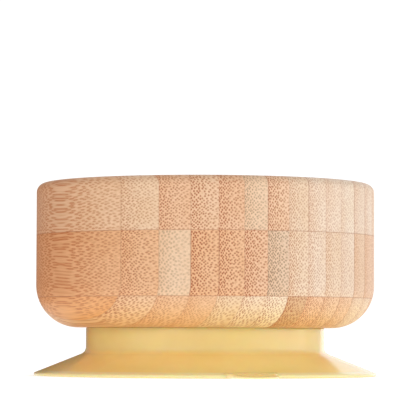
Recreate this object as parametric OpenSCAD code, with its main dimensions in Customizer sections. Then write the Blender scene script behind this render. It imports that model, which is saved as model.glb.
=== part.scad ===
// Laminated bamboo bowl on a silicone suction base with a pull tab.
// The bowl is turned from three boards glued one on another, and each board is glued
// from upright slats. The silicone base is one moulding that grips the bowl's foot. It
// is split here where it bends: collar, bead, skirt, edge lip and pull tab.
// The origin is on the bowl's axis at the table. +Z is up and the tab points to -Y.

/* [Wooden bowl] */
// Outer diameter of the bowl
bowl_d = 120; // [98:0.5:160]
// Height of the bowl from its underside to its rim, without the foot
bowl_h = 51; // [40:0.5:66]
// Thickness of the side wall
wall_t = 8; // [6.5:0.25:12]
// Thickness of the wood under the food, without the foot
floor_t = 9; // [5:0.25:10.25]
// Radius of the rounding between the side wall and the underside
belly_r = 15; // [6:0.5:16]
// Radius of the rounding between the floor and the wall inside
inside_r = 18; // [6:0.5:24]
// Radius of the rim's outer edge
rim_out_r = 3.2; // [0.5:0.1:4]
// Radius of the rim's inner edge
rim_in_r = 3; // [0.5:0.1:4]

/* [Boards and slats] */
// Thickness of the boards that the bowl is glued from
board_t = 22; // [21:0.5:24]
// How much wider the glued boards are than the bowl turned from them
board_spare = 4.8; // [3.2:0.1:8]
// How far the middle of the boards lies from the bowl's axis
board_shift = 1.5; // [0:0.1:1.5]
// Turn of the bamboo fibres from the pull tab's direction, in degrees
fibre_turn = 18.8; // [0:0.2:90]

/* [Foot] */
// Diameter of the turned foot under the bowl
foot_d = 78.4; // [60:0.2:84]
// Height of the foot
foot_h = 11.5; // [10:0.25:12.5]
// Bevel round the foot's lower edge
foot_bevel = 0.8; // [0.2:0.1:1.5]
// Height of the retaining groove's middle above the foot's lower face
groove_up = 5; // [4:0.25:6.5]
// Depth of the retaining groove
groove_deep = 1.5; // [1.2:0.1:2.5]
// Height of the retaining groove
groove_h = 3; // [2.6:0.1:4]

/* [Silicone base] */
// Radial clearance between the foot and the collar that grips it
foot_fit = 0.05; // [0.02:0.01:0.1]
// Thickness of the collar's wall
collar_t = 2.95; // [2:0.05:3.5]
// Height of the collar above the skirt
collar_h = 9; // [7:0.25:10]
// How far the collar flares outwards where it runs into the skirt
collar_flare = 0.7; // [0.2:0.1:1.2]
// Height of the flared part of the collar
flare_h = 4; // [2:0.25:5]
// Clearance between the bead and the groove, all round
bead_fit = 0.3; // [0.2:0.05:0.4]
// Outer diameter of the suction skirt with its lip
skirt_d = 121.4; // [112:0.2:150]
// Height of the skirt's top above the table
skirt_h = 8; // [7:0.25:10]
// Thickness of the skirt beside the collar
skirt_root_t = 2.2; // [1.6:0.1:2.4]
// Gap between the skirt's solid and the collar's, which the soft moulding spans
skirt_gap = 0.3; // [0.2:0.05:0.5]
// Width of the edge lip
lip_w = 2.1; // [1.6:0.1:3]
// Height of the edge lip where the skirt runs into it
lip_h = 1.85; // [1.6:0.05:2.2]
// Radius of the lip's rounded nose
nose_r = 0.6; // [0.4:0.05:0.75]

/* [Pull tab] */
// Width of the pull tab
tab_w = 15; // [8:0.5:20]
// Length of the pull tab from its bending line to its tip
tab_l = 11; // [8:0.5:20]
// Thickness of the pull tab
tab_t = 1.6; // [1:0.1:2.4]
// Gap between the tab's rounded root and the lip
tab_gap = 0.3; // [0.2:0.05:0.5]

/* [Hidden] */
$fn = 180;
// Number of slats glued side by side in each board
SLATS = 16;
// Names of the three glued boards, from the top down
COURSES = ["rim", "wall", "base"];
// Overlap that carries a cut clear past a face
over = 1;

// Heights above the table
seat_z = skirt_h + collar_h;
foot_z = seat_z - foot_h;
floor_z = seat_z + floor_t;
rim_z = seat_z + bowl_h;
base_top_z = foot_z + board_t;
wall_top_z = base_top_z + board_t;
groove_z = foot_z + groove_up;

// Radii from the bowl's axis
bowl_r = bowl_d / 2;
cavity_r = bowl_r - wall_t;
foot_r = foot_d / 2;
collar_in_r = foot_r + foot_fit;
collar_out_r = collar_in_r + collar_t;
flare_out_r = collar_out_r + collar_flare;
skirt_r = skirt_d / 2;
lip_in_r = skirt_r - lip_w;

// The skirt narrows from its root to the lip, and its underside rises inwards
skirt_low_z = skirt_h - skirt_root_t;
lip_low_z = nose_r;

// Slats lie across the glued board, numbered from the side away from +X
slat_w = (bowl_d + board_spare) / SLATS;
first_slat_x = board_shift - SLATS * slat_w / 2;

// The tab bends about a line through the middle of its rounded root
tab_line_y = -(skirt_r + tab_gap + tab_t / 2);

function two_digits(n) = n < 10 ? str("0", n) : str(n);
function slat_name(course, n) = str(course, "_slat_", two_digits(n));
// Heights between which each board lies, clear of the rim and of the foot's lower face
function course_z(course) =
    course == "rim" ? [wall_top_z, rim_z + over]
    : course == "wall" ? [base_top_z, wall_top_z]
    : [foot_z - over, base_top_z];

SLAT_NODES = [for (course = COURSES) for (n = [1 : SLATS]) slat_name(course, n)];
BASE_NODES = ["edge_lip", "skirt", "collar", "retaining_bead", "pull_tab"];

// Outline of half the turned bowl with its foot, before it is hollowed out
module bowl_outline() {
    translate([0, seat_z]) square([bowl_r - belly_r, bowl_h]);
    translate([0, seat_z + belly_r]) square([bowl_r, bowl_h - belly_r - rim_out_r]);
    translate([0, seat_z + belly_r]) square([bowl_r - rim_out_r, bowl_h - belly_r]);
    translate([bowl_r - belly_r, seat_z + belly_r]) circle(r = belly_r);
    translate([bowl_r - rim_out_r, rim_z - rim_out_r]) circle(r = rim_out_r);
    polygon([
        [0, foot_z], [foot_r - foot_bevel, foot_z], [foot_r, foot_z + foot_bevel],
        [foot_r, seat_z + over], [0, seat_z + over]
    ]);
}

// Outline of half the space for food, with the rim's inner edge rounded
module cavity_outline() {
    translate([0, floor_z]) square([cavity_r - inside_r, bowl_h]);
    translate([0, floor_z + inside_r]) square([cavity_r, bowl_h]);
    translate([cavity_r - inside_r, floor_z + inside_r]) circle(r = inside_r);
    difference() {
        translate([cavity_r - over, rim_z - rim_in_r]) square([rim_in_r + over, rim_in_r + over]);
        translate([cavity_r + rim_in_r, rim_z - rim_in_r]) circle(r = rim_in_r);
    }
}

// Outline of the groove round the foot
module groove_outline() {
    translate([foot_r - groove_deep, groove_z - groove_h / 2]) square([groove_deep + over, groove_h]);
}

// What the turning left of one board, between two heights
module turned_board(low_z, high_z) {
    rotate_extrude() intersection() {
        difference() {
            bowl_outline();
            cavity_outline();
            groove_outline();
        }
        translate([0, low_z]) square([bowl_d, high_z - low_z]);
    }
}

// One slat of a board, counted across the fibres
module slat(course, n) {
    z = course_z(course);
    shade = [0.80, 0.66, 0.50] + ((n * 5 + z[0]) % 4) * [0.035, 0.04, 0.045];
    color(shade) intersection() {
        turned_board(z[0], z[1]);
        rotate([0, 0, fibre_turn])
            translate([first_slat_x + (n - 1) * slat_w, -bowl_d, 0])
            cube([slat_w, 2 * bowl_d, rim_z + over]);
    }
}

// Upright band that grips the foot, flared towards the skirt
module collar() {
    color([0.91, 0.76, 0.46]) rotate_extrude() polygon([
        [collar_in_r, skirt_low_z], [flare_out_r, skirt_low_z], [flare_out_r, skirt_h],
        [collar_out_r, skirt_h + flare_h], [collar_out_r, seat_z], [collar_in_r, seat_z]
    ]);
}

// Ridge inside the collar that snaps into the foot's groove
module retaining_bead() {
    bead_deep = groove_deep - bead_fit + foot_fit;
    bead_h = groove_h - 2 * bead_fit;
    color([0.88, 0.72, 0.42]) rotate_extrude() polygon([
        [collar_in_r, groove_z - bead_h / 2], [collar_in_r, groove_z + bead_h / 2],
        [collar_in_r - bead_deep, groove_z + bead_h / 4], [collar_in_r - bead_deep, groove_z - bead_h / 4]
    ]);
}

// Sloping membrane between the collar and the lip
module skirt() {
    root_r = flare_out_r + skirt_gap;
    color([0.90, 0.70, 0.36]) rotate_extrude() polygon([
        [root_r, skirt_low_z], [root_r, skirt_h], [lip_in_r, lip_h], [lip_in_r, lip_low_z]
    ]);
}

// Ring round the skirt's edge, which rests on the table and seals on it
module edge_lip() {
    nose = [skirt_r - nose_r, nose_r];
    color([0.97, 0.89, 0.62]) rotate_extrude() {
        polygon([[lip_in_r, 0], [nose.x, 0], [nose.x, 2 * nose_r], [lip_in_r, lip_h]]);
        translate(nose) circle(r = nose_r);
    }
}

// Tongue for a finger and thumb, with a round tip and a rounded root along its bending line
module pull_tab() {
    tip_r = tab_w / 2;
    color([0.93, 0.76, 0.44]) translate([0, tab_line_y, 0]) {
        translate([-tip_r, tip_r - tab_l, 0]) cube([tab_w, tab_l - tip_r, tab_t]);
        intersection() {
            translate([0, tip_r - tab_l, 0]) cylinder(r = tip_r, h = tab_t);
            translate([-tab_w, -2 * tab_l, -over]) cube([2 * tab_w, 2 * tab_l, tab_t + 2 * over]);
        }
        translate([-tip_r, 0, tab_t / 2]) rotate([0, 90, 0]) cylinder(d = tab_t, h = tab_w);
    }
}

for (course = COURSES) for (n = [1 : SLATS])
    slat(course, n);
edge_lip();
skirt();
collar();
retaining_bead();
pull_tab();
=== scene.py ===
import math

import bmesh
import bpy
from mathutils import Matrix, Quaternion, Vector


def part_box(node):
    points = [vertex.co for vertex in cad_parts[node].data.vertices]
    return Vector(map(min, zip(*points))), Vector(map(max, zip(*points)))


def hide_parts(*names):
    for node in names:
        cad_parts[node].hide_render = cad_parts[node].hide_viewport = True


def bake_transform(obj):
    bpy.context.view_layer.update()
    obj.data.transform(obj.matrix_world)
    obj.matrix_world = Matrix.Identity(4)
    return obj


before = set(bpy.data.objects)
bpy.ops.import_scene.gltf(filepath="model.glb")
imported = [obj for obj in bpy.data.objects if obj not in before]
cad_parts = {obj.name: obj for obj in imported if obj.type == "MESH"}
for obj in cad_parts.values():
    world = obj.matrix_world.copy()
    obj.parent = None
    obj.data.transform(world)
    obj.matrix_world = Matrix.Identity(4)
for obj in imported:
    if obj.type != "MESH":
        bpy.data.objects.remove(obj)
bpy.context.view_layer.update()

MM = 0.001

# The bamboo's fibres run level, turned this far from the pull tab's direction
FIBRE_TURN = math.radians(18.8)
ACROSS = Vector((math.cos(FIBRE_TURN), math.sin(FIBRE_TURN), 0))
ALONG = Vector((-math.sin(FIBRE_TURN), math.cos(FIBRE_TURN), 0))
SLATS = 16

# Where the camera stands: its turn round the bowl from straight in front of the pull tab
CAMERA_TURN = math.radians(15.2)
TO_CAMERA = Vector((-math.sin(CAMERA_TURN), -math.cos(CAMERA_TURN), 0))
CAMERA_RIGHT = Vector((math.cos(CAMERA_TURN), -math.sin(CAMERA_TURN), 0))
UP = Vector((0, 0, 1))


# ---------------------------------------------------------------- node helpers

def add(tree, kind, inputs=None, **settings):
    """A new shader node. Its inputs are plain values or other nodes' outputs."""
    node = tree.nodes.new("ShaderNode" + kind)
    for name, value in settings.items():
        setattr(node, name, value)
    for key, value in (inputs or {}).items():
        if isinstance(value, bpy.types.NodeSocket):
            tree.links.new(value, node.inputs[key])
        else:
            node.inputs[key].default_value = value
    return node


def calc(tree, operation, a, b=0.0, c=0.0):
    return add(tree, "Math", {0: a, 1: b, 2: c}, operation=operation).outputs[0]


def plus(tree, a, b):
    return calc(tree, "ADD", a, b)


def minus(tree, a, b):
    return calc(tree, "SUBTRACT", a, b)


def times(tree, a, b):
    return calc(tree, "MULTIPLY", a, b)


def over(tree, a, b):
    return calc(tree, "DIVIDE", a, b)


def absolute(tree, value):
    return calc(tree, "ABSOLUTE", value)


def facing(tree, direction, axis):
    """How squarely a direction points along an axis, from -1 to 1."""
    return add(tree, "VectorMath", {0: direction, 1: axis}, operation="DOT_PRODUCT").outputs["Value"]


def step(tree, value, low, high, out_low=0.0, out_high=1.0):
    """Turns smoothly from out_low to out_high while value goes from low to high."""
    limits = {"Value": value, "From Min": low, "From Max": high, "To Min": out_low, "To Max": out_high}
    return add(tree, "MapRange", limits, interpolation_type="SMOOTHSTEP").outputs[0]


def mix(tree, factor, a, b, blend_type="MIX"):
    """Colour a turned into b, or with "MULTIPLY" into a times b, as far as factor says."""
    node = add(tree, "Mix", data_type="RGBA", blend_type=blend_type)
    for key, value in ((0, factor), (6, a), (7, b)):
        if isinstance(value, bpy.types.NodeSocket):
            tree.links.new(value, node.inputs[key])
        else:
            node.inputs[key].default_value = value
    return node.outputs[2]


def vector(tree, x, y, z=0.0):
    return add(tree, "CombineXYZ", {0: x, 1: y, 2: z}).outputs[0]


def noise(tree, at, scale, detail=2.0, colour=False):
    node = add(tree, "TexNoise", {"Vector": at, "Scale": scale, "Detail": detail})
    return node.outputs["Color" if colour else "Fac"]


def new_material(name):
    material = bpy.data.materials.new(name)
    material.use_nodes = True
    material.node_tree.nodes.clear()
    return material, material.node_tree


def finish_material(tree, shader):
    add(tree, "OutputMaterial", {"Surface": shader.outputs[0]})


# ---------------------------------------------------------------- bamboo

# Colours of the wood between the dark bundles, named as a joiner would sort the slats
TONES = {
    "ivory": (0.87, 0.715, 0.565),
    "milk": (0.85, 0.67, 0.52),
    "cream": (0.83, 0.63, 0.46),
    "pale": (0.82, 0.58, 0.40),
    "sand": (0.81, 0.54, 0.36),
    "tan": (0.80, 0.505, 0.325),
    "amber": (0.79, 0.47, 0.275),
    "honey": (0.78, 0.41, 0.205),
    "russet": (0.78, 0.44, 0.245),
    "dun": (0.75, 0.53, 0.37),
    "brown": (0.68, 0.43, 0.26),
}
COURSES = {
    "rim": "sand pale tan sand tan pale sand cream milk milk ivory milk milk cream pale sand",
    "wall": "russet amber pale amber amber tan dun cream milk cream milk pale sand sand tan pale",
    "base": "honey sand tan tan cream milk ivory brown tan sand sand cream cream sand pale tan",
}
# How dark the bundles show, from 0 to 9, slat by slat
BUNDLES = {
    "rim": "6578868554444566",
    "wall": "7749999655444566",
    "base": "7754567876555566",
}
# How far each of those steps covers the wood
DARK_STEP = 0.12
# Slats with greyer bundles
GREY = ("wall_slat_03", "wall_slat_07", "rim_slat_06")
# Slats with their bundles close together, and far apart, and how far apart they are in millimetres
FINE = (
    "rim_slat_01", "rim_slat_02", "rim_slat_03", "wall_slat_01", "wall_slat_02",
    "base_slat_01", "base_slat_02", "base_slat_03", "base_slat_04",
)
COARSE = ("wall_slat_03",)
PITCH = 0.79
FINE_PITCH = 0.68
COARSE_PITCH = 0.88
# Slats whose low side has a dark glue line, and how strongly that line and the others show
DARK_GLUE = (
    "rim_slat_07", "rim_slat_09", "rim_slat_12", "rim_slat_13", "wall_slat_04", "wall_slat_05",
    "wall_slat_12", "wall_slat_13", "base_slat_08", "base_slat_10", "base_slat_11", "base_slat_12",
)
DARK_GLUE_SHOWS = 0.75
GLUE_SHOWS = 0.2

# Bundles cut across are red or grey, and bundles that run along the surface are lighter
END_RED = (0.39, 0.105, 0.036, 1)
END_GREY = (0.32, 0.20, 0.125, 1)
SIDE_RED = (0.52, 0.165, 0.06, 1)
GLUE_BROWN = (0.42, 0.17, 0.09, 1)

# Tints by which the wood's colour is multiplied
DARK_FIBRE = (0.895, 0.88, 0.84, 1)
LIGHT_FIBRE = (1.01, 1.035, 1.055, 1)
BROAD_PATCH = (0.95, 0.88, 0.79, 1)
SKIN_SIDE = (0.93, 0.80, 0.70, 1)
# Painted light: the yellow light that the silicone throws on the wood just above it
SILICONE_BOUNCE_TINT = (1.10, 1.06, 0.80, 1)
PALE_GAP = (1.08, 1.12, 1.17, 1)

# The lattice on which the bundles lie: how far apart its rows are, in pitches, how far a bundle is out of
# its place, and how much closer together the bundles are at the slat's low side
ROW_PITCH = 1.2
OUT_OF_PLACE = 0.55
CROWDING = 0.36
# How many millimetres the bundles wander, and how far apart the wander's bends are across and along
WANDER = 3.0
WANDER_ACROSS = 15.0
WANDER_ALONG = 32.0
# How far the noises are shifted from one slat to the next, and for each 1 of that the lattice, in
# millimetres
SLAT_SHIFT = 7.31
LATTICE_SHIFT = 5.0
# A bundle's radius in pitches and how soft its edge is
BUNDLE_R = 0.32
BUNDLE_EDGE = 0.10
# How strongly the bundles show at the slat's low side, how much more some of them do, and how much of
# their radius, their number and their strength is gone at its high side
BUNDLE_SHOWS = 0.84
SOME_SHOW_MORE = 0.3
THINNER = 0.04
FEWER = 0.10
FAINTER = 0.52
# Turns per millimetre of the fine fibres' noise and of the broad patches', across, along and up
FIBRE_TURNS = (2.6, 0.055, 2.6)
PATCH_TURNS = (0.16, 0.012, 0.09)


def span_across(node):
    """Where a slat begins and ends across the fibres, in millimetres."""
    places = [ACROSS.dot(v.co) / MM for v in node.data.vertices]
    return min(places), max(places)


MIDDLE = SLATS // 2
MIDDLE_LOW, MIDDLE_HIGH = span_across(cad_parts[f"wall_slat_{MIDDLE:02d}"])
SLAT_W = MIDDLE_HIGH - MIDDLE_LOW
RIM_JOINT_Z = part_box("rim_slat_08")[0].z / MM
BASE_JOINT_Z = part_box("wall_slat_08")[0].z / MM
SEAT_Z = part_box("collar")[1].z / MM
# Heights above the silicone, in millimetres, up to which the wood gets the full painted light of the
# silicone's yellow bounce, and from which it gets none
FULL_BOUNCE_UP_TO = 1
NO_BOUNCE_FROM = 14


class Spot:
    """Where a point of the bowl lies in its slat.

    It holds the place across the fibres, along them and up, in millimetres, the share of the slat's
    width from its low side, the slat's own shift of the pattern, and how far the surface cuts the
    fibres across.
    """

    def __init__(self, tree, given):
        place = add(tree, "TexCoord").outputs
        turned = add(tree, "VectorRotate", {"Vector": place["Object"], "Angle": -FIBRE_TURN},
                     rotation_type="Z_AXIS")
        scaled = add(tree, "VectorMath", {0: turned.outputs[0], "Scale": 1 / MM}, operation="SCALE")
        self.across, self.along, self.up = add(tree, "SeparateXYZ", {0: scaled.outputs[0]}).outputs
        self.share = over(tree, minus(tree, self.across, given["Low"]), SLAT_W)
        self.shift = times(tree, given["Seed"], SLAT_SHIFT)
        self.end_grain = step(tree, absolute(tree, facing(tree, place["Normal"], ALONG)), 0.08, 0.65)

    def stretched(self, tree, turns):
        """The place for a noise with so many turns per millimetre across, along and up."""
        across, along, up = turns
        return vector(tree, calc(tree, "MULTIPLY_ADD", self.across, across, self.shift),
                      times(tree, self.along, along), times(tree, self.up, up))


def bundle_lattice(tree, given, spot):
    """How deep a point lies inside its bundle, in pitches, and two random numbers for each bundle."""
    # The bundles wander a little as they run along
    slow = vector(tree, plus(tree, over(tree, spot.across, WANDER_ACROSS), spot.shift),
                  over(tree, spot.along, WANDER_ALONG), over(tree, spot.up, WANDER_ACROSS))
    wander = add(tree, "SeparateColor", {0: noise(tree, slow, 1.0, 1.0, colour=True)}).outputs

    # They crowd towards the slat's outer skin, on its low side
    crowded = times(tree, spot.share, minus(tree, 1 + CROWDING, times(tree, spot.share, CROWDING)))
    aside = calc(tree, "MULTIPLY_ADD", wander[0], WANDER, times(tree, spot.shift, LATTICE_SHIFT))
    column = calc(tree, "MULTIPLY_ADD", crowded, SLAT_W, aside)
    row = calc(tree, "MULTIPLY_ADD", wander[1], WANDER, spot.up)

    # Each lies near a point of a lattice that stands on its corners
    lattice = vector(tree, over(tree, column, given["Pitch"]),
                     over(tree, row, times(tree, given["Pitch"], ROW_PITCH)))
    diamond = add(tree, "VectorRotate", {"Vector": lattice, "Angle": math.radians(45)},
                  rotation_type="Z_AXIS").outputs[0]
    cells = add(tree, "TexVoronoi", {"Vector": diamond, "Scale": 1.0, "Randomness": OUT_OF_PLACE},
                voronoi_dimensions="2D", feature="F1")
    chance = add(tree, "SeparateColor", {0: cells.outputs["Color"]}).outputs
    radius = minus(tree, BUNDLE_R, times(tree, spot.share, THINNER))
    return minus(tree, radius, cells.outputs["Distance"]), chance


def bundle_pattern(tree, given, spot):
    """How far a point is dark with a bundle, and how far it lies in a pale gap between bundles."""
    inside, chance = bundle_lattice(tree, given, spot)
    spread = step(tree, inside, -BUNDLE_EDGE, BUNDLE_EDGE)
    # A few bundles are left out, and the rest fade from the slat's low side to its high side
    present = step(tree, minus(tree, chance[0], times(tree, spot.share, FEWER)), -0.05, 0.05)
    fading = minus(tree, BUNDLE_SHOWS, times(tree, spot.share, FAINTER))
    strength = calc(tree, "MULTIPLY_ADD", chance[1], SOME_SHOW_MORE, fading)
    bundle = times(tree, spread, times(tree, present, strength))
    # A bundle that runs along the surface shows a paler middle
    hollow = times(tree, step(tree, inside, 0.12, 0.26, 0.0, 0.5), minus(tree, 1.0, spot.end_grain))
    gap = step(tree, inside, -BUNDLE_EDGE, -3 * BUNDLE_EDGE)
    return times(tree, bundle, minus(tree, 1.0, hollow)), gap


def wood_between(tree, given, spot, fibres, gap):
    """Colour of the wood between the bundles."""
    light = mix(tree, step(tree, fibres, 0.25, 0.75), DARK_FIBRE, LIGHT_FIBRE)
    wood = mix(tree, 1.0, given["Tone"], light, "MULTIPLY")
    # Broad darker patches along a slat
    broad = noise(tree, spot.stretched(tree, PATCH_TURNS), 1.0, 2.0)
    wood = mix(tree, step(tree, broad, 0.3, 0.7, 0.0, 0.5), wood, BROAD_PATCH, "MULTIPLY")
    skin = step(tree, spot.share, 0.55, 0.0, 0.0, 0.30)
    wood = mix(tree, skin, wood, SKIN_SIDE, "MULTIPLY")
    # Painted light: the wood low on the belly is tinted warmer for the light that the silicone throws up on
    # it
    painted_bounce = step(tree, spot.up, SEAT_Z + NO_BOUNCE_FROM, SEAT_Z + FULL_BOUNCE_UP_TO)
    wood = mix(tree, painted_bounce, wood, SILICONE_BOUNCE_TINT, "MULTIPLY")
    return mix(tree, times(tree, gap, given["Dark"]), wood, PALE_GAP, "MULTIPLY")


def glue_lines(tree, given, spot):
    """How far a point lies in a glue line between neighbouring slats or between two boards."""
    low_side = times(tree, spot.share, SLAT_W)
    high_side = minus(tree, SLAT_W, low_side)
    low_line = times(tree, step(tree, low_side, 0.34, 0.08), given["Glue"])
    high_line = step(tree, high_side, 0.16, 0.05, 0.0, 0.25)
    side_line = calc(tree, "MAXIMUM", low_line, high_line)
    board_gap = calc(tree, "MINIMUM", absolute(tree, minus(tree, spot.up, RIM_JOINT_Z)),
                     absolute(tree, minus(tree, spot.up, BASE_JOINT_Z)))
    board_line = step(tree, board_gap, 0.26, 0.06, 0.0, 0.5)
    return calc(tree, "MAXIMUM", side_line, board_line)


def bamboo_group():
    """A node group that gives upright-glued bamboo its colour, roughness and relief at any point."""
    tree = bpy.data.node_groups.new("bamboo", "ShaderNodeTree")
    for name, kind in (("Tone", "Color"), ("Bundle", "Color"), ("Dark", "Float"), ("Seed", "Float"),
                       ("Low", "Float"), ("Pitch", "Float"), ("Glue", "Float")):
        tree.interface.new_socket(name, in_out="INPUT", socket_type="NodeSocket" + kind)
    for name, kind in (("Colour", "Color"), ("Roughness", "Float"), ("Height", "Float")):
        tree.interface.new_socket(name, in_out="OUTPUT", socket_type="NodeSocket" + kind)
    given = tree.nodes.new("NodeGroupInput").outputs
    result = tree.nodes.new("NodeGroupOutput").inputs

    spot = Spot(tree, given)
    bundle, gap = bundle_pattern(tree, given, spot)
    # Fine pale and dark fibres, long and thin
    fibres = noise(tree, spot.stretched(tree, FIBRE_TURNS), 1.0, 3.0)
    glue = glue_lines(tree, given, spot)

    wood = wood_between(tree, given, spot, fibres, gap)
    bundle_colour = mix(tree, spot.end_grain, SIDE_RED, given["Bundle"])
    wood = mix(tree, times(tree, bundle, given["Dark"]), wood, bundle_colour)
    wood = mix(tree, glue, wood, GLUE_BROWN)
    rough = calc(tree, "MULTIPLY_ADD", fibres, 0.16, calc(tree, "MULTIPLY_ADD", bundle, 0.10, 0.36))
    relief = minus(tree, times(tree, fibres, 0.35), plus(tree, times(tree, bundle, 0.65), glue))
    for name, value in (("Colour", wood), ("Roughness", rough), ("Height", relief)):
        tree.links.new(value, result[name])
    return tree


def bamboo_material(group, slat, number, tone, darkness):
    """The group with one slat's own colours, pitch and glue line."""
    material, tree = new_material(slat)
    look = add(tree, "Group")
    look.node_tree = group
    settings = {
        "Tone": (*TONES[tone], 1),
        "Bundle": END_GREY if slat in GREY else END_RED,
        "Dark": DARK_STEP * darkness,
        "Seed": float(number),
        "Low": MIDDLE_LOW + (int(slat[-2:]) - MIDDLE) * SLAT_W,
        "Pitch": FINE_PITCH if slat in FINE else COARSE_PITCH if slat in COARSE else PITCH,
        "Glue": DARK_GLUE_SHOWS if slat in DARK_GLUE else GLUE_SHOWS,
    }
    for name, value in settings.items():
        look.inputs[name].default_value = value
    relief = add(tree, "Bump", {"Height": look.outputs["Height"], "Strength": 0.5, "Distance": 0.06 * MM})
    finish_material(tree, add(tree, "BsdfPrincipled", {
        "Base Color": look.outputs["Colour"], "Roughness": look.outputs["Roughness"],
        "Normal": relief.outputs[0], "IOR": 1.45, "Specular IOR Level": 0.35,
    }))
    return material


def dress_slats():
    group = bamboo_group()
    number = 0
    for course, tones in COURSES.items():
        for place, (tone, darkness) in enumerate(zip(tones.split(), BUNDLES[course]), start=1):
            slat = f"{course}_slat_{place:02d}"
            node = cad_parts[slat]
            number += 1
            material = bamboo_material(group, slat, number, tone, int(darkness))
            node.data.materials.clear()
            node.data.materials.append(material)


# ---------------------------------------------------------------- silicone base

LIP_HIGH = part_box("edge_lip")[1]
SKIRT_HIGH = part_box("skirt")[1]
COLLAR_LOW, COLLAR_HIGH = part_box("collar")
BEAD_LOW, BEAD_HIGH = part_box("retaining_bead")
TAB_LOW, TAB_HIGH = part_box("pull_tab")

LIP_R = LIP_HIGH.x
LIP_TOP_Z = LIP_HIGH.z
SKIRT_OUT_R = SKIRT_HIGH.x
SKIRT_TOP_Z = SKIRT_HIGH.z
SKIRT_UNDER_Z = COLLAR_LOW.z
FLARE_R = COLLAR_HIGH.x
COLLAR_IN_R = BEAD_HIGH.x
COLLAR_WALL = 3.0 * MM
COLLAR_R = COLLAR_IN_R + COLLAR_WALL
BEAD_DEEP = 1.25 * MM
BEAD_NOSE_R = 0.5 * MM
FILLET_R = 2.6 * MM
NOSE_R = 0.6 * MM
ROUND_R = 0.35 * MM
CUP_EDGE_R = 0.4 * MM
CUP_CORNER_R = 0.9 * MM
# Where the skirt has a ring of points, so that it bends evenly, and the suction cup's hollow underside
SKIRT_RINGS = (47 * MM, 51 * MM, 55 * MM, 57.5 * MM, SKIRT_OUT_R - 0.4 * MM)
CUP_HOLLOW = ((55 * MM, 1.85 * MM), (50 * MM, 3.5 * MM), (45.5 * MM, 5.05 * MM))
CUP_CORNER_X = 42.9 * MM
# How far below the collar's top its upright faces have one more ring of points
COLLAR_RING = 3 * MM
TURNED_STEPS = 256
# Points closer than this are one point
SAME_POINT = 0.001 * MM

TAB_HALF_W = TAB_HIGH.x
TAB_TIP_Y = TAB_LOW.y
TAB_ROOT_R = SKIRT_OUT_R - 1.3 * MM
TAB_TIP_THICK = 0.75 * MM
# Its edge is round over this width, and it is this much wider on each side at its root
TAB_EDGE = 0.6 * MM
TAB_FLARE = 2.2 * MM
# It stands proud of the lip by a hair, sinks into the skirt towards its root and clears the table, and
# its underside rises inside the skirt
TAB_PROUD = 0.02 * MM
TAB_SINK = 0.15
TAB_CLEAR = 0.03 * MM
TAB_UNDER_RISE = 0.6
# The bend of its top's fall from the lip to the tip: 1 would be straight
TAB_FALL = 1.3
TAB_SIDE_STEPS = 12
TAB_TIP_STEPS = 32
# How far in from the edge the loops of points lie, on each face
TAB_LOOPS = (
    0, 0.05 * MM, 0.16 * MM, 0.34 * MM, 0.6 * MM, 1.2 * MM, 2.6 * MM, 4.6 * MM, TAB_HALF_W - 0.01 * MM,
)

# The attribute that tells the material how far a point gets the painted light of the thin edge, paler where
# light catches it and shines through it
EDGE_LIGHT = "painted_edge_light"
# How much of that painted edge light the underside of the lip gets, and the tab's flat faces
UNDERSIDE_EDGE_LIGHT = 0.35
TAB_FACE_EDGE_LIGHT = 0.3
SILICONE = (0.935, 0.715, 0.28, 1)
CLOUDY_SILICONE = (0.975, 0.76, 0.315, 1)
# Painted light: the paler colour of the thin edges, where light catches them and shines through them
EDGE_LIT_SILICONE = (0.97, 0.82, 0.465, 1)
DUST = (0.42, 0.25, 0.10, 1)
# The collar's colour is multiplied by this tint, painted light: the collar is the same silicone as the skirt,
# made greyer and cooler for how the light falls on it
COLLAR_SHADING_TINT = (0.90, 0.95, 1.04, 1)
# How deep light reaches into the moulding and into the tab
DEEP_SCATTER = 2.5 * MM
THIN_SCATTER = 0.7 * MM


def arc(centre, radius, start, end, count):
    """Points of an arc in a section, from one angle to another in degrees."""
    angles = [math.radians(start + (end - start) * i / (count - 1)) for i in range(count)]
    return [(centre[0] + radius * math.cos(a), centre[1] + radius * math.sin(a)) for a in angles]


def skirt_z(r):
    """Height of the skirt's sloping top at a radius."""
    root_r = FLARE_R + 0.3 * MM
    return SKIRT_TOP_Z + (LIP_TOP_Z - SKIRT_TOP_Z) * (r - root_r) / (SKIRT_OUT_R - root_r)


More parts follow.
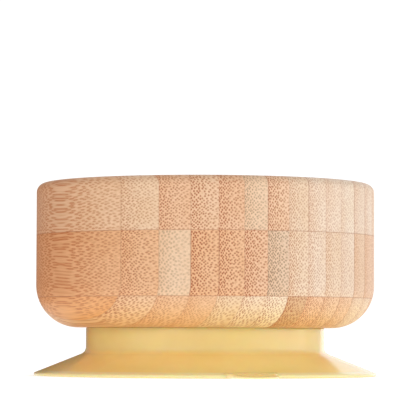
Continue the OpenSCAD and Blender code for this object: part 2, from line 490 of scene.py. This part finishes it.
def base_section():
    """The moulding's closed outline in a section, from the collar's top outwards and back inside."""
    top_z = COLLAR_HIGH.z
    slope = math.atan2(skirt_z(0) - skirt_z(1), 1)
    fillet_x = COLLAR_R + FILLET_R
    fillet_z = skirt_z(fillet_x) + FILLET_R / math.cos(slope)
    fillet_end = 270 - math.degrees(slope)
    bead_mid = (BEAD_LOW.z + BEAD_HIGH.z) / 2
    bead_half = (BEAD_HIGH.z - BEAD_LOW.z) / 2
    bead_r = COLLAR_IN_R - BEAD_DEEP
    past_skirt = SKIRT_OUT_R + 0.5 * MM
    return [
        *arc((COLLAR_R - ROUND_R, top_z - ROUND_R), ROUND_R, 90, 0, 5),
        (COLLAR_R, top_z - COLLAR_RING),
        *arc((fillet_x, fillet_z), FILLET_R, 180, fillet_end, 11),
        *[(r, skirt_z(r)) for r in SKIRT_RINGS],
        (SKIRT_OUT_R, LIP_TOP_Z),
        (past_skirt, LIP_TOP_Z - 0.17 * MM),
        *arc((LIP_R - NOSE_R, NOSE_R), NOSE_R, 68, -90, 11),
        (past_skirt, 0),
        *arc((SKIRT_OUT_R + 0.3 * MM, CUP_EDGE_R), CUP_EDGE_R, -100, -200, 5),
        *CUP_HOLLOW,
        *arc((CUP_CORNER_X, SKIRT_UNDER_Z - CUP_CORNER_R), CUP_CORNER_R, 70, 90, 3),
        *arc((COLLAR_IN_R + ROUND_R, SKIRT_UNDER_Z + ROUND_R), ROUND_R, 270, 180, 5),
        (COLLAR_IN_R, bead_mid - bead_half),
        *arc((bead_r + BEAD_NOSE_R, bead_mid), BEAD_NOSE_R, 230, 130, 7),
        (COLLAR_IN_R, bead_mid + bead_half),
        (COLLAR_IN_R, top_z - COLLAR_RING),
        *arc((COLLAR_IN_R + ROUND_R, top_z - ROUND_R), ROUND_R, 180, 90, 5),
    ]


def make_object(name, mesh_maker, edge_light_of):
    """A smooth mesh piece that remembers at each point how far it gets the painted light of the thin edge."""
    shape = bmesh.new()
    mesh_maker(shape)
    bmesh.ops.remove_doubles(shape, verts=shape.verts, dist=SAME_POINT)
    bmesh.ops.recalc_face_normals(shape, faces=shape.faces)
    mesh = bpy.data.meshes.new(name)
    shape.to_mesh(mesh)
    shape.free()
    mesh.polygons.foreach_set("use_smooth", [True] * len(mesh.polygons))
    pale = mesh.attributes.new(EDGE_LIGHT, "FLOAT", "POINT")
    pale.data.foreach_set("value", [edge_light_of(v.co) for v in mesh.vertices])
    piece = bpy.data.objects.new(name, mesh)
    bpy.context.scene.collection.objects.link(piece)
    return piece


def lathe(section, count):
    """Fills a mesh with the closed section turned round the Z axis."""
    def build(shape):
        rings = []
        for i in range(count):
            a = 2 * math.pi * i / count
            rings.append([shape.verts.new((r * math.cos(a), r * math.sin(a), z)) for r, z in section])
        for ring, following in zip(rings, rings[1:] + rings[:1]):
            for j in range(len(section)):
                k = (j + 1) % len(section)
                shape.faces.new((ring[j], following[j], following[k], ring[k]))
    return build


def smooth(value, low, high):
    """Goes smoothly from 0 to 1 while value goes from low to high."""
    share = min(max((value - low) / (high - low), 0), 1)
    return share * share * (3 - 2 * share)


def lip_edge_light(point):
    """Painted edge light: 1 on the rounded edge lip, less on its underside, and 0 on the skirt and round the
    tongue's root.
    """
    radius = math.hypot(point.x, point.y)
    upper = UNDERSIDE_EDGE_LIGHT + (1 - UNDERSIDE_EDGE_LIGHT) * smooth(point.z, 0.1 * MM, 0.7 * MM)
    clear_of_tab = smooth(abs(point.x), TAB_HALF_W, TAB_HALF_W + 2.5 * MM) if point.y < 0 else 1
    return smooth(radius, SKIRT_OUT_R - 0.4 * MM, SKIRT_OUT_R + 0.15 * MM) * upper * clear_of_tab


def tab_outline(inset):
    """The tongue's outline from its left root round the tip to its right root, drawn in by inset."""
    radius = TAB_HALF_W - inset
    centre_y = TAB_TIP_Y + TAB_HALF_W
    root_y = -math.sqrt(TAB_ROOT_R ** 2 - (radius + TAB_FLARE) ** 2)
    left = []
    for i in range(TAB_SIDE_STEPS + 1):
        y = root_y + (centre_y - root_y) * i / TAB_SIDE_STEPS
        flare = TAB_FLARE * (1 - smooth(-y, LIP_R - 2.5 * MM, LIP_R + 2.2 * MM))
        left.append((-(radius + flare), y))
    angles = [math.pi * i / TAB_TIP_STEPS for i in range(1, TAB_TIP_STEPS)]
    tip = [(-radius * math.cos(a), centre_y - radius * math.sin(a)) for a in angles]
    return left + tip + [(-x, y) for x, y in reversed(left)]


def tab_top(x, y):
    """Height of the tongue's top, which starts on the skirt's slope and falls gently to the tip."""
    r = math.hypot(x, y)
    if r < SKIRT_OUT_R:
        return skirt_z(r) + TAB_PROUD - (SKIRT_OUT_R - r) * TAB_SINK
    left_over = max(1 - (r - SKIRT_OUT_R) / (-TAB_TIP_Y - SKIRT_OUT_R), 0)
    return TAB_TIP_THICK + (LIP_TOP_Z + TAB_PROUD - TAB_TIP_THICK) * left_over ** TAB_FALL


def tab_bottom(x, y):
    """Height of the tongue's underside, which rises inside the skirt towards the root."""
    return TAB_CLEAR + max(SKIRT_OUT_R - math.hypot(x, y), 0) * TAB_UNDER_RISE


def tab_loop(shape, side, inset):
    """Points along an outline on the top (side 1) or the underside (side -1) of the rounded edge."""
    share = min(inset / TAB_EDGE, 1)
    lift = math.sqrt(1 - (1 - share) ** 2)
    loop = []
    for x, y in tab_outline(inset):
        top = tab_top(x, y)
        middle = (top + tab_bottom(x, y)) / 2
        loop.append(shape.verts.new((x, y, middle + side * lift * (top - middle))))
    return loop


def build_tab(shape):
    """Fills a mesh with the tongue: its two faces, which meet in a rounded edge, and its root's end."""
    ends = []
    for side in (1, -1):
        loops = [tab_loop(shape, side, inset) for inset in TAB_LOOPS]
        for outer, inner in zip(loops, loops[1:]):
            for i in range(len(outer) - 1):
                shape.faces.new((outer[i], outer[i + 1], inner[i + 1], inner[i]))
        last = loops[-1]
        half = len(last) // 2
        for i in range(half - 1):
            shape.faces.new((last[i], last[i + 1], last[-2 - i], last[-1 - i]))
        ends.append([loop[0] for loop in loops] + [loop[-1] for loop in reversed(loops)])
    tops, bottoms = ends
    for i in range(len(tops) - 1):
        shape.faces.new((tops[i], tops[i + 1], bottoms[i + 1], bottoms[i]))


def tab_edge_light(point):
    """Painted edge light: 1 along the tongue's rounded outer edge, and less on its thin top and underside."""
    past_lip = smooth(-point.y, LIP_R - 1.2 * MM, LIP_R + 0.6 * MM)
    top = tab_top(point.x, point.y)
    flat = smooth(point.z, top - 0.30 * MM, top - 0.05 * MM)
    return max(past_lip * (1 - flat), TAB_FACE_EDGE_LIGHT)


def dust_specks(tree, place):
    """A few specks of the dust that silicone holds on to."""
    cells = add(tree, "TexVoronoi", {"Vector": place, "Scale": 95.0, "Randomness": 1.0})
    rare = add(tree, "SeparateColor", {0: cells.outputs["Color"]}).outputs[0]
    return times(tree, step(tree, cells.outputs["Distance"], 0.035, 0.02), step(tree, rare, 0.93, 0.95))


def silicone_material(name, scatter):
    """Yellow silicone into which light reaches about as deep as the length scatter."""
    material, tree = new_material(name)
    place = add(tree, "TexCoord").outputs["Object"]
    pale = add(tree, "Attribute", attribute_name=EDGE_LIGHT).outputs["Fac"]
    cloudy = noise(tree, place, 55.0, 3.0)
    colour = mix(tree, step(tree, cloudy, 0.3, 0.7), SILICONE, CLOUDY_SILICONE)
    height = add(tree, "SeparateXYZ", {0: place}).outputs[2]
    # Painted light: the upright collar is tinted greyer and cooler than the rest of the same moulding
    upright = step(tree, height, SKIRT_TOP_Z - 0.5 * MM, SKIRT_TOP_Z + 1.5 * MM)
    colour = mix(tree, upright, colour, COLLAR_SHADING_TINT, "MULTIPLY")
    # Painted light: the thin edges are made paler for the light that catches them and shines through them
    colour = mix(tree, pale, colour, EDGE_LIT_SILICONE)
    colour = mix(tree, times(tree, dust_specks(tree, place), 0.6), colour, DUST)
    skin = noise(tree, place, 900.0, 2.0)
    rough = calc(tree, "MULTIPLY_ADD", cloudy, 0.08, 0.13)
    relief = add(tree, "Bump", {"Height": skin, "Strength": 0.25, "Distance": 0.02 * MM})
    finish_material(tree, add(tree, "BsdfPrincipled", {
        "Base Color": colour, "Roughness": rough, "Normal": relief.outputs[0], "IOR": 1.41,
        "Subsurface Weight": 0.7, "Subsurface Radius": (1.0, 0.6, 0.25), "Subsurface Scale": scatter,
    }))
    return material


def make_silicone():
    base = make_object("silicone_base", lathe(base_section(), TURNED_STEPS), lip_edge_light)
    base.data.materials.append(silicone_material("silicone", DEEP_SCATTER))
    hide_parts("collar", "retaining_bead", "skirt", "edge_lip")
    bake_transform(base)

    tab = make_object("silicone_tab", build_tab, tab_edge_light)
    tab.data.materials.append(silicone_material("silicone_thin", THIN_SCATTER))
    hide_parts("pull_tab")
    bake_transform(tab)


# ---------------------------------------------------------------- studio

WHITE = (1, 1, 1, 1)
LEFT_FRONT_LIGHT = (0.93, 0.93, 0.78, 1)
LEFT_BACK_LIGHT = (0.29, 0.045, 0.005, 1)


def make_floor():
    """A pale floor, from just left of the object to far on its right, in metres."""
    size = 4.0
    left_edge = 0.11
    centre = CAMERA_RIGHT * (size / 2 - left_edge)
    bpy.ops.mesh.primitive_plane_add(size=size, location=centre, rotation=(0, 0, -CAMERA_TURN))
    floor = bpy.context.object
    floor.name = "floor"
    material, tree = new_material("floor")
    # The floor glows white like a light table, and less under the suction cup, a painted shadow where the cup
    # covers it
    place = add(tree, "NewGeometry").outputs["Position"]
    from_axis = add(tree, "VectorMath", {0: place}, operation="LENGTH").outputs["Value"]
    finish_material(tree, add(tree, "BsdfPrincipled", {
        "Base Color": (0.5, 0.5, 0.5, 1), "Roughness": 0.9, "Emission Color": WHITE,
        "Emission Strength": step(tree, from_axis, LIP_R - 2 * MM, LIP_R + 5 * MM, 0.5, 0.8),
    }))
    floor.data.materials.append(material)


def world_light(tree, direction):
    """Colour and strength of the light that the room sends from a direction."""
    sideways = facing(tree, direction, CAMERA_RIGHT)
    behind = facing(tree, direction, -TO_CAMERA)
    height = add(tree, "SeparateXYZ", {0: direction}).outputs[2]
    # Light from the left, dim orange from beside and behind the object and near white from in front
    left = step(tree, sideways, -0.1, -0.5)
    left_tint = mix(tree, step(tree, behind, -0.45, 0.0), LEFT_FRONT_LIGHT, LEFT_BACK_LIGHT)
    # White light from the right, from straight behind and from high behind
    right = times(tree, step(tree, sideways, 0.1, 0.6), step(tree, behind, -0.1, 0.2, 0.68, 0.82))
    straight_behind = times(tree, step(tree, behind, 0.82, 0.90), step(tree, sideways, -0.15, 0.08, 0.0, 1.2))
    high_behind = times(tree, step(tree, height, 0.30, 0.50), step(tree, behind, -0.15, 0.20, 0.0, 0.65))
    high_behind = times(tree, high_behind, step(tree, absolute(tree, sideways), 0.45, 0.25))
    level = plus(tree, plus(tree, left, right), plus(tree, high_behind, straight_behind))
    return mix(tree, left, WHITE, left_tint), level


def make_world():
    """A white backdrop for the camera, and the light of a room that is dim on the left."""
    world = bpy.data.worlds.new("studio")
    world.use_nodes = True
    tree = world.node_tree
    tree.nodes.clear()
    colour, level = world_light(tree, add(tree, "TexCoord").outputs["Generated"])
    shown = add(tree, "LightPath").outputs["Is Camera Ray"]
    lighting = add(tree, "Background", {"Color": colour, "Strength": level})
    backdrop = add(tree, "Background", {"Color": WHITE, "Strength": 1.1})
    both = add(tree, "MixShader", {0: shown, 1: lighting.outputs[0], 2: backdrop.outputs[0]})
    add(tree, "OutputWorld", {"Surface": both.outputs[0]})
    bpy.context.scene.world = world


def make_softbox(name, place, aim, width, height, power):
    """A rectangular lamp at a place, pointing at aim. Lengths are in metres and power in watts."""
    data = bpy.data.lights.new(name, "AREA")
    data.shape = "RECTANGLE"
    data.size = width
    data.size_y = height
    data.energy = power
    lamp = bpy.data.objects.new(name, data)
    lamp.location = place
    lamp.rotation_euler = (aim - place).to_track_quat("-Z", "Y").to_euler()
    bpy.context.scene.collection.objects.link(lamp)


def make_lights():
    aim = Vector((0, 0, 0.035))
    key = CAMERA_RIGHT * 0.98 + TO_CAMERA * 0.2 + UP * 0.16
    front = TO_CAMERA * 0.98 - CAMERA_RIGHT * 0.2 + UP * 0.25
    high = TO_CAMERA * 0.75 - CAMERA_RIGHT * 0.27 + UP * 0.8
    top = UP * 1.1 - TO_CAMERA * 0.2
    make_softbox("key", key, aim, width=1.3, height=0.3, power=2.0)
    make_softbox("front", front, aim, width=1.3, height=0.4, power=2.72)
    make_softbox("high", high, aim, width=0.6, height=0.6, power=0.95)
    make_softbox("top", top, aim, width=0.9, height=0.9, power=0.5)


def make_camera():
    """A long lens just above the table, looking up a little and aside a little, with a slight roll."""
    distance = 0.914
    height = 14.7 * MM
    aside = 0.9 * MM
    pitch = math.radians(2.815)
    roll = math.radians(0.2)
    data = bpy.data.cameras.new("camera")
    data.lens = 222.3
    data.sensor_width = 36
    camera = bpy.data.objects.new("camera", data)
    camera.location = TO_CAMERA * distance + UP * height
    target = CAMERA_RIGHT * aside + UP * (height + distance * math.tan(pitch))
    turn = (target - camera.location).to_track_quat("-Z", "Y")
    camera.rotation_euler = (turn @ Quaternion((0, 0, 1), roll)).to_euler()
    bpy.context.scene.collection.objects.link(camera)
    bpy.context.scene.camera = camera
    bpy.context.scene.view_settings.view_transform = "Standard"


make_camera()
dress_slats()
make_silicone()
make_floor()
make_world()
make_lights()
